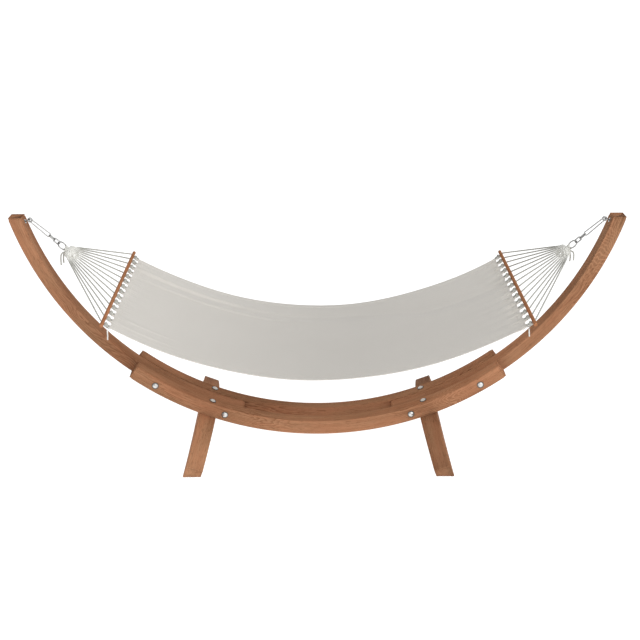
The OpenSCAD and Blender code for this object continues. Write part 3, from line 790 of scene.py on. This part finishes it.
def cloth_patch(name, grid_s, thick):
    """A piece of the bed's cloth as a closed mesh. grid_s gives the places along each of LINES."""
    grid_y = np.broadcast_to(LINES[None, :], grid_s.shape)
    rows, cols = grid_s.shape
    mid_s = (grid_s[:-1, :-1] + grid_s[1:, 1:]) / 2
    mid_y = (grid_y[:-1, :-1] + grid_y[1:, 1:]) / 2
    near = np.round((mid_y - HOLE_Y[0]) / PITCH) * PITCH + HOLE_Y[0]
    keep = np.hypot(np.abs(mid_s) - EYELET_S, mid_y - near) > CLOTH_HOLE
    top = bed_point(grid_s, grid_y, thick / 2).reshape(-1, 3)
    bottom = bed_point(grid_s, grid_y, -thick / 2).reshape(-1, 3)
    count = rows * cols
    faces = []
    border = {}
    for i, j in zip(*np.nonzero(keep)):
        a = int(i * cols + j)
        b = a + 1
        c = b + cols
        d = a + cols
        faces.append((a, d, c, b))
        faces.append((a + count, b + count, c + count, d + count))
        for edge in ((a, d), (d, c), (c, b), (b, a)):
            if edge[::-1] in border:
                del border[edge[::-1]]
            else:
                border[edge] = True
    for a, b in border:
        faces.append((b, a, a + count, b + count))
    flat = np.stack([grid_s, grid_y, 0 * grid_s], axis=-1).reshape(-1, 3)
    verts = np.vstack([top, bottom])
    values = np.vstack([flat, flat])
    used = np.zeros(len(verts), bool)
    used[np.array(faces).ravel()] = True
    renumber = np.cumsum(used) - 1
    pile = Pile("cloth")
    pile.add(verts[used], renumber[np.array(faces)], values[used])
    piece = pile.build(name, cloth)
    bevel = piece.modifiers.new("edge", "BEVEL")
    bevel.width = thick * 0.3
    bevel.segments = 2
    bevel.limit_method = "ANGLE"
    bevel.angle_limit = radians(50)
    return piece


def end_runs(inner, steps, reach=0.0):
    """Places along the cloth from inner to reach past its shaped edge."""
    return inner + (edge_run(LINES)[None, :] + reach - inner) * steps[:, None]


CLOTH_THICK = 0.0018
END_HEM = 0.042
END_HEM_THICK = 0.0044
SIDE_HEM_THICK = 0.0042
SIDE_HEM_EDGE = 0.0019
# The cloth stops this far short of its hems' edges, and the side hems stand this far proud of it
CLOTH_SHORT = 0.0008
SIDE_PROUD = 0.0006
# Puckers that the stitching draws along a side hem: height and spacing
PUCKER = 0.00022
PUCKER_PITCH = 0.012

LINES = pitch_lines()
CORE = EYELET_S - 0.075
core_runs = np.broadcast_to(np.linspace(-CORE, CORE, 150)[:, None], (150, len(LINES)))
right_end = end_runs(CORE, np.linspace(0, 1, 27)[1:], -CLOTH_SHORT)
bed = cloth_patch("bed_cloth", np.vstack([-right_end[::-1], core_runs, right_end]), CLOTH_THICK)

HEM_FROM = TIP_S - END_HEM
hem_runs = end_runs(HEM_FROM, np.linspace(0, 1, 19))
cloth_patch("end_hem_right", hem_runs, END_HEM_THICK)
cloth_patch("end_hem_left", -hem_runs[::-1], END_HEM_THICK)


def side_hem(name, sign):
    """A doubled hem along one side of the bed, puckered by its stitching."""
    half = SIDE_HEM_THICK / 2
    low = (BED_HALF - SIDE_HEM, -half)
    high = (BED_HALF + SIDE_PROUD, half)
    profile = rounded_profile(low, high, SIDE_HEM_EDGE, corner=4, sides=(10, 1))
    bow = np.cos((profile[:, 0] - BED_HALF + SIDE_HEM / 2) * pi / SIDE_HEM)
    rows = []
    flats = []
    for s in np.linspace(-HEM_FROM - 0.004, HEM_FROM + 0.004, 420):
        pucker = PUCKER * np.sin(2 * pi * s / PUCKER_PITCH) * bow
        lift = profile[:, 1] * (1 + pucker / half)
        rows.append(bed_point(s, sign * profile[:, 0], lift))
        flats.append(np.stack([s + 0 * lift, sign * profile[:, 0], lift], axis=1))
    pile = Pile("cloth")
    add_rings(pile, np.array(rows)[:, ::sign], np.array(flats)[:, ::sign])
    pile.build(name, cloth)


side_hem("side_hem_front", -1)
side_hem("side_hem_rear", 1)


STITCH_LENGTH = 0.0034
STITCH_GAP = 0.0018
STITCH_R = 0.00035
STITCH_RISE = 0.0001


def stitch_row(pile, s, y, face, thick):
    """Stitches laid along a row of places on the upper (face 1) or lower (-1) side of a hem."""
    points = bed_point(s, y, face * (thick / 2 + STITCH_RISE))
    normals = face * bed_normal(s)
    run = run_along(points)
    for start in np.arange(0, run[-1] - STITCH_LENGTH, STITCH_LENGTH + STITCH_GAP):
        places = [start, start + STITCH_LENGTH / 2, start + STITCH_LENGTH]
        up = points_at(places, run, normals)
        at = points_at(places, run, points) + up * np.array([[-0.3], [0.55], [-0.3]]) * STITCH_R
        ahead = unit(at[2] - at[0])
        side = unit(np.cross(up[1], ahead))
        centres = (at[0], at[0] + (at[1] - at[0]) * 0.4, at[1] + (at[2] - at[1]) * 0.6, at[2])
        verts = []
        for centre, size in zip(centres, (0.5, 1.0, 1.0, 0.5)):
            r = STITCH_R * size
            turns = np.arange(6) * pi / 3
            verts.append([centre + r * (cos(a) * side + sin(a) * unit(up[1])) for a in turns])
        verts = np.array(verts)
        add_rings(pile, verts[:, ::-1], np.zeros(verts.shape))


for side_name, sign in (("front", -1), ("rear", 1)):
    pile = Pile("lay")
    for inset in (0.004, SIDE_HEM - 0.003):
        for face in (1, -1):
            runs = np.linspace(-HEM_FROM, HEM_FROM, 600)
            stitch_row(pile, runs, sign * (BED_HALF - inset), face, SIDE_HEM_THICK)
    pile.build(f"side_stitches_{side_name}", thread)
for side_name, sign in (("left", -1), ("right", 1)):
    pile = Pile("lay")
    across = np.linspace(-BED_HALF + 0.003, BED_HALF - 0.003, 900)
    for s in (edge_run(across) - 0.0032, np.full_like(across, HEM_FROM + 0.003)):
        for face in (1, -1):
            stitch_row(pile, sign * s, across, face, END_HEM_THICK)
    pile.build(f"end_stitches_{side_name}", thread)


# ---------------- cords
Y = np.array([0.0, 1.0, 0.0])


def above(direction):
    """The direction across this one that points up, with no part along Y."""
    return np.array([direction[2], 0, -direction[0]])


EYELET = np.array([EYELET_X, 0, EYELET_Z])
BAR = np.array([BAR_X, 0, BAR_Z])
GATHER = pull_point(GATHER_S)
LACE_DIR = unit(EYELET - BAR)
LACE_UP = above(LACE_DIR)
FAN_DIR = unit(BAR - GATHER)
FAN_UP = above(FAN_DIR)
# Radius of the arc that the cloth nearly follows, which gives its slope at the eyelets
SHEET_RADIUS = 2.088
SHEET_ANGLE = asin(EYELET_X / SHEET_RADIUS)
SHEET_UP = np.array([-sin(SHEET_ANGLE), 0, cos(SHEET_ANGLE)])
SHEET_OUT = np.array([cos(SHEET_ANGLE), 0, sin(SHEET_ANGLE)])
AHEAD = unit(pull_point(1) - pull_point(0))
DOWN = unit(pull_point(0, 0, 1) - pull_point(0))
# The knot is a flat body. CROSS runs along its wide side, which leans
CROSS = unit(Y - 0.32 * DOWN)
BALL_FRONT = 0.028
BALL_BACK = 0.018
BALL_HALF = 0.047
BALL_DEEP = 0.021
BUNDLE_R = 0.0082
# Cords packed side by side in a round bundle: (count, size, turn) of each ring of them
BUNDLE_RINGS = ((1, 0.0, 0.0), (5, 0.52, 0.3), (8, 1.0, 0.0))
STEP = 0.0016
CORD_STEP = 0.0017
LACE_STEP = 0.0012


def bundle_places():
    """Places of the cords in their bundle, ordered from -Y to +Y."""
    places = []
    for count, size, turn in BUNDLE_RINGS:
        for k in range(count):
            a = turn + 2 * pi * k / count
            places.append((BUNDLE_R * size * cos(a), BUNDLE_R * size * sin(a)))
    return sorted(places)


BUNDLE = bundle_places()
# How far round the knot's rim each cord leaves it
PEEL = [radians(7 + 15 * (abs(i - (CORDS - 1) / 2) - 0.5)) for i in range(CORDS)]


def ball_point(forward, across, side, lift=0.0):
    """A point on the upper (side 1) or lower (side -1) skin of the knot, or at its middle (side 0).

    forward and across run from -1 to 1.
    """
    rim = min(1.0, forward**2 + across**2)
    deep = side * (BALL_DEEP + lift) * (1 - rim) ** 0.6
    reach = BALL_FRONT if forward > 0 else BALL_BACK
    return GATHER + FAN_DIR * reach * forward + CROSS * BALL_HALF * across + FAN_UP * deep


def skin_points(back, rim, places, side, lift=0.0):
    """Points over or under the knot's body, from its back to its rim."""
    return [ball_point(*(back + (rim - back) * t), side, lift) for t in places]


def suspension_path(i):
    """One cord: out of the wrapping, over or under the knot and straight to its hole in the bar."""
    across, deep = BUNDLE[i]
    sign = 1 if HOLE_Y[i] > 0 else -1
    side = 1 if i % 2 else -1
    rim = np.array([cos(PEEL[i]), sign * sin(PEEL[i])])
    back = np.array([-0.97, 0.22 * across / BUNDLE_R])
    skin = skin_points(back, rim, np.linspace(0.08, 0.97, 9), side)
    through = BAR + Y * HOLE_Y[i]
    mouth = through - LACE_DIR * 0.0125
    nose = ball_point(rim[0], rim[1], 0) + FAN_DIR * 0.003 * rim[0] + CROSS * 0.002 * rim[1]
    straight = unit(mouth - nose)
    lead = [pull_point(0.244, across, deep), pull_point(0.252, across, deep), *skin]
    lead += [nose + straight * 0.006, nose + straight * 0.014]
    end = [mouth - straight * 0.016, mouth - straight * 0.008, mouth, through]
    end.append(through + LACE_DIR * 0.0165)
    dense = np.vstack([smooth_path(lead, CORD_STEP), smooth_path(end, CORD_STEP)])
    return even_path(dense, CORD_STEP)


def winding(places, turns, start, radius, centre, second):
    """Points of a winding. radius and centre are functions of the way along it, from 0 to 1."""
    points = []
    for t in places:
        a = 2 * pi * turns * t + start
        points.append(centre(t) + radius(t) * (cos(a) * Y + sin(a) * second))
    return points


def lacing(pile, y):
    """A stopper knot inside the bar, then a doubled cord through the eyelet and back."""
    eye = EYELET + Y * y
    inside = BAR + Y * y
    start = inside + LACE_DIR * 0.0135
    lower = start + LACE_DIR * 0.004
    bend = 0.0034
    lift = 0.0067
    spread = Y * 0.0024
    points = [
        start + 0.0022 * LACE_UP - spread,
        lower + 0.0030 * LACE_UP - spread,
        eye + lift * SHEET_UP + (bend + 0.002) * SHEET_OUT,
        eye + (lift - 0.0009) * SHEET_UP + 0.0009 * SHEET_OUT,
        eye + (lift - bend) * SHEET_UP - 0.0004 * SHEET_OUT,
        eye - (lift - bend) * SHEET_UP - 0.0004 * SHEET_OUT,
        eye - (lift - 0.0009) * SHEET_UP + 0.0009 * SHEET_OUT,
        eye - lift * SHEET_UP + (bend + 0.002) * SHEET_OUT,
        eye - (lift - 0.0006) * SHEET_UP + (TAB_REACH + 0.001) * SHEET_OUT,
        lower - 0.0030 * LACE_UP + spread,
        start - 0.0022 * LACE_UP + spread,
    ]
    add_rope(pile, smooth_path(points, LACE_STEP), LACE_R)
    stopper = winding(
        np.linspace(0, 1, 46), 2.6, y * 40,
        lambda t: 0.0084 - 0.0020 * abs(2 * t - 1) ** 6,
        lambda t: inside + LACE_DIR * (0.0135 + 0.0105 * t),
        LACE_UP,
    )
    add_rope(pile, smooth_path(stopper, LACE_STEP), LACE_R)


def ring_axes():
    """The gathering ring's two directions in its plane, and the one through it."""
    wire = cos(RING_TURN) * DOWN - sin(RING_TURN) * Y
    return AHEAD, wire, np.cross(AHEAD, wire)


def ring_loops(pile):
    """Loops of the cords around the gathering ring."""
    ahead, wire, through = ring_axes()
    for k in range(7):
        lead = 0.0052 * (k - 3) / RING_R
        out = cos(lead) * ahead + sin(lead) * wire
        at = pull_point(RING_S) + RING_R * out
        points = [pull_point(0.2495, *BUNDLE[k])]
        for degrees in (70, 35, 0, -45, -90, -135, -180, -215, -250):
            a = radians(degrees)
            points.append(at + 0.0058 * (sin(a) * out + cos(a) * through))
        points.append(pull_point(0.2495, *BUNDLE[CORDS - 1 - k]))
        add_rope(pile, smooth_path(points, 0.0013), LOOP_R)


def wrapping(pile):
    """Turns of rope around the cords behind the knot, and one that crosses them."""
    turns = winding(
        np.arange(83) / 83.2, 3.2, 0.6,
        lambda t: 0.0128 + 0.0006 * sin(10.2 * pi * t + 0.95625) - 0.0022 * abs(2 * t - 1) ** 10,
        lambda t: pull_point(0.2455 + 0.0165 * t),
        DOWN,
    )
    add_rope(pile, smooth_path(turns, 0.0015), WRAP_R)
    crossing = winding(
        np.linspace(0, 1, 40), 0.55, 2.4,
        lambda t: 0.0130 + 0.0044 * sin(pi * t) ** 0.5,
        lambda t: pull_point(0.2440 + 0.0210 * t),
        DOWN,
    )
    add_rope(pile, smooth_path(crossing, 0.0015), WRAP_R)


def knot_core(pile):
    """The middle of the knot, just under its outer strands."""
    rows = []
    for degrees in np.linspace(-90, 90, 25):
        tilt = radians(degrees)
        size = 0.97 * cos(tilt)
        up = FAN_UP * (BALL_DEEP + 0.001) * sin(tilt)
        turn = np.arange(48) * 2 * pi / 48
        rows.append([ball_point(size * cos(a), size * sin(a), 0) + up for a in turn])
    rows = np.array(rows)
    rows[0] = rows[0].mean(axis=0) + (rows[0] - rows[0].mean(axis=0)) * 0.02
    add_rings(pile, rows, np.concatenate([rows[..., :2], 0 * rows[..., :1]], axis=-1))


def knot_strands(pile):
    """The second strand of each cord, which turns back at the rim of the knot."""
    for i in range(CORDS):
        spread = radians(-84 + 168 * (i + 0.5) / CORDS)
        rim = np.array([cos(spread), sin(spread)]) * 0.97
        back = np.array([-0.95, 0.25 * sin(spread)])
        for side in (1, -1):
            skin = skin_points(back, rim, np.linspace(0.05, 0.98, 12), side, 0.0005)
            add_rope(pile, smooth_path(skin, STEP), STRAND_R)


def knot_bands(pile):
    """Bands woven over and under the strands, then the pointed web in front of the knot."""
    for row, forward in enumerate((-0.66, -0.40, -0.14, 0.12, 0.38, 0.64)):
        reach = sqrt(1 - forward**2) * 0.985
        for side in (1, -1):
            band = []
            for t in np.linspace(-0.5, 0.5, 61):
                across = reach * sin(pi * t)
                weave = 0.0016 * cos(pi * (9 * t + row))
                bow = forward + 0.16 * (1 - (across / reach) ** 2) - 0.08
                band.append(ball_point(bow, across, side, 0.0018 + weave))
            add_rope(pile, smooth_path(band, STEP), BAND_R)
    for row, (distance, half_angle) in enumerate(((0.042, 66), (0.050, 46))):
        band = []
        for degrees in np.linspace(-half_angle, half_angle, 97):
            u = radians(degrees)
            weave = 0.0052 * cos(pi * (degrees / 12.0 - 0.17 + row))
            place = FAN_DIR * distance * cos(u) + CROSS * distance * 1.02 * sin(u)
            band.append(GATHER + place + FAN_UP * weave)
        add_rope(pile, smooth_path(band, STEP), LOOP_R)


for side_name, mirror in (("right", False), ("left", True)):
    cords = Pile("lay")
    for i in range(CORDS):
        add_rope(cords, suspension_path(i), CORD_R, depth=0.12)
    cords.build(f"suspension_cords_{side_name}", fan_white_light_and_shade, mirror)
    laces = Pile("lay")
    for y in HOLE_Y:
        lacing(laces, y)
    laces.build(f"lacing_loops_{side_name}", cord_white_painted_shade, mirror)
    knot = Pile("lay")
    for part in (ring_loops, wrapping, knot_core, knot_strands, knot_bands):
        part(knot)
    stood_for = [f"cord_gather_{side_name}", f"knot_whipping_{side_name}"]
    knot.build(f"knot_{side_name}", knot_white_painted_light, mirror, stood_for)


# ---------------- chain
def add_wire(pile, path, normal):
    """A closed loop of round wire along a flat path."""
    ahead = unit(np.roll(path, -1, axis=0) - np.roll(path, 1, axis=0))
    across = np.cross(ahead, normal)
    turn = np.arange(16) * 2 * pi / 16
    ring = np.cos(turn)[None, :, None] * across[:, None] + np.sin(turn)[None, :, None] * normal
    verts = path[:, None] + WIRE_R * ring
    add_rings(pile, verts[:, ::-1], np.zeros(verts.shape), close=True)


def link_path(start, across):
    """The wire's centre around a chain link: two straight sides and a round bend at each end."""
    near = pull_point(start - LINK_STRETCH + LINK_BEND_R)
    far = pull_point(start + LINK_PITCH + LINK_STRETCH - LINK_BEND_R)
    points = []
    for centre, other, side in ((far, near, 1), (near, far, -1)):
        for a in np.linspace(-pi / 2, pi / 2, 15):
            points.append(centre + side * LINK_BEND_R * (cos(a) * AHEAD + sin(a) * across))
        for t in (0.25, 0.5, 0.75):
            points.append(centre + (other - centre) * t + side * LINK_BEND_R * across)
    return np.array(points)


for side_name, mirror in (("right", False), ("left", True)):
    pile = Pile("lay")
    for start, across in zip(LINK_S, (Y, DOWN)):
        add_wire(pile, link_path(start, across), np.cross(AHEAD, across))
    pile.build(f"chain_links_{side_name}", steel, mirror)
    first, second, normal = ring_axes()
    turn = np.arange(72) * 2 * pi / 72
    ring = RING_R * (np.outer(np.cos(turn), first) + np.outer(np.sin(turn), second))
    pile = Pile("lay")
    add_wire(pile, pull_point(RING_S) + ring, normal)
    pile.build(f"gathering_ring_{side_name}", steel, mirror)


# Routes of the free rope ends, drawn at the right-hand end, in millimetres as in the CAD model
TAILS = {
    "knot_tails_left": [
        [(1357, -7, 1053), (1367, -9, 1050), (1376, -9, 1043), (1381, -9, 1030), (1383, -9, 1010),
         (1383, -9, 979)],
        [(1352, 7, 1049), (1361, 8, 1045), (1368, 8, 1036), (1371, 8, 1022), (1372, 8, 1006),
         (1372, 8, 986)],
    ],
    "knot_tails_right": [
        [(1357, -7, 1053), (1367, -9, 1050), (1376, -9, 1044), (1380, -9, 1032), (1381, -9, 1016),
         (1381, -9, 998)],
        [(1352, 7, 1049), (1359, 8, 1044), (1364, 8, 1035), (1366, 8, 1020), (1366, 8, 1004),
         (1365, 8, 987)],
    ],
    "corner_tail_left": [
        [(1057, -559, 818), (1058, -562, 811), (1058, -562, 800), (1058, -562, 788), (1059, -562, 777),
         (1059, -562, 765)],
    ],
    "corner_tail_right": [
        [(1057, -559, 818), (1058, -562, 811), (1058, -562, 801), (1059, -562, 793), (1060, -562, 785),
         (1060, -562, 777)],
    ],
}
for node_name, routes in TAILS.items():
    mirror = node_name.endswith("left")
    at_corner = node_name.startswith("corner")
    radius = TAIL_R if at_corner else KNOT_TAIL_R
    for number, route in enumerate(routes, 1):
        route_line = smooth_path(np.array(route) * MM, 0.0015)
        pile = Pile("lay")
        add_rope(pile, route_line, radius)
        name = node_name if at_corner else f"{node_name}_{number}"
        # painted light on the corner tails, painted shade on the knot tails
        material = knot_white_painted_light if at_corner else cord_white_painted_shade
        piece = pile.build(name, material, mirror, [node_name])


# ---------------- CAD nodes that stay
def finish_node(name, material):
    node = nodes[name]
    node.data.materials.clear()
    node.data.materials.append(material)


for name in nodes:
    if name.startswith("spreader_bar"):
        finish_node(name, bar_wood)
    elif name.endswith("head_washers"):
        finish_node(name, dark_steel)
    elif name.startswith("eyelets"):
        finish_node(name, eyelet_steel_painted_shade)
    elif name in ("arm_bolts", "leg_bolts"):
        finish_node(name, bright_steel)
    elif not nodes[name].hide_render:
        finish_node(name, steel)


# ---------------- stage and light
FLOOR_HALF = 30.0


def add_stage():
    """A plain floor that glows evenly, so that it shows white all over."""
    s = Shader("floor", Roughness=0.95, Specular_IOR_Level=0.0, Base_Color=(0.25, 0.25, 0.25, 1),
               Emission_Color=(1, 1, 1, 1), Emission_Strength=1.05)
    corners = [(x * FLOOR_HALF, y * FLOOR_HALF, 0) for x, y in ((-1, -1), (1, -1), (1, 1), (-1, 1))]
    mesh = bpy.data.meshes.new("floor")
    mesh.from_pydata(corners, [], [(0, 1, 2, 3)])
    mesh.materials.append(s.material)
    floor = bpy.data.objects.new("floor", mesh)
    bpy.context.scene.collection.objects.link(floor)


def add_world(lobes, horizon, band):
    """A soft studio: each lobe is a broad light from one direction, over a pale horizon."""
    world = bpy.data.worlds.new("world")
    bpy.context.scene.world = world
    world.use_nodes = True
    n = Nodes(world.node_tree)
    place = n.add("TexCoord")
    total = 0.0
    for direction, power, strength in lobes:
        towards = Vector(direction).normalized()
        facing = n.add("VectorMath", {0: place, 1: towards}, out=1, operation="DOT_PRODUCT")
        lit = n.math("POWER", n.math("MAXIMUM", facing, 0.0), power)
        total = n.plus(n.times(lit, strength), total)
    upward = n.parts(place)[2]
    height = n.math("DIVIDE", n.math("ABSOLUTE", upward), band)
    near = n.math("SUBTRACT", 1.0, n.math("MINIMUM", height, 1.0))
    total = n.math("MAXIMUM", total, n.times(n.math("POWER", near, 0.5), horizon))
    background = n.tree.nodes["Background"]
    background.inputs["Color"].default_value = (1, 1, 1, 1)
    n.tree.links.new(total, background.inputs["Strength"])


# (direction, power, strength) of each broad light
LOBES = (
    ((1, 0, 0), 2, 0.42),
    ((0, -1, 0), 2, 0.18),
    ((0, 1, 0), 2, 0.80),
    ((0.5, -0.5, 0.707), 8, 2.55),
    ((-0.70, 0, 0.71), 8, 0.46),
    ((0, -0.77, 0.64), 8, 1.2),
)
add_stage()
add_world(LOBES, horizon=1.0, band=0.18)
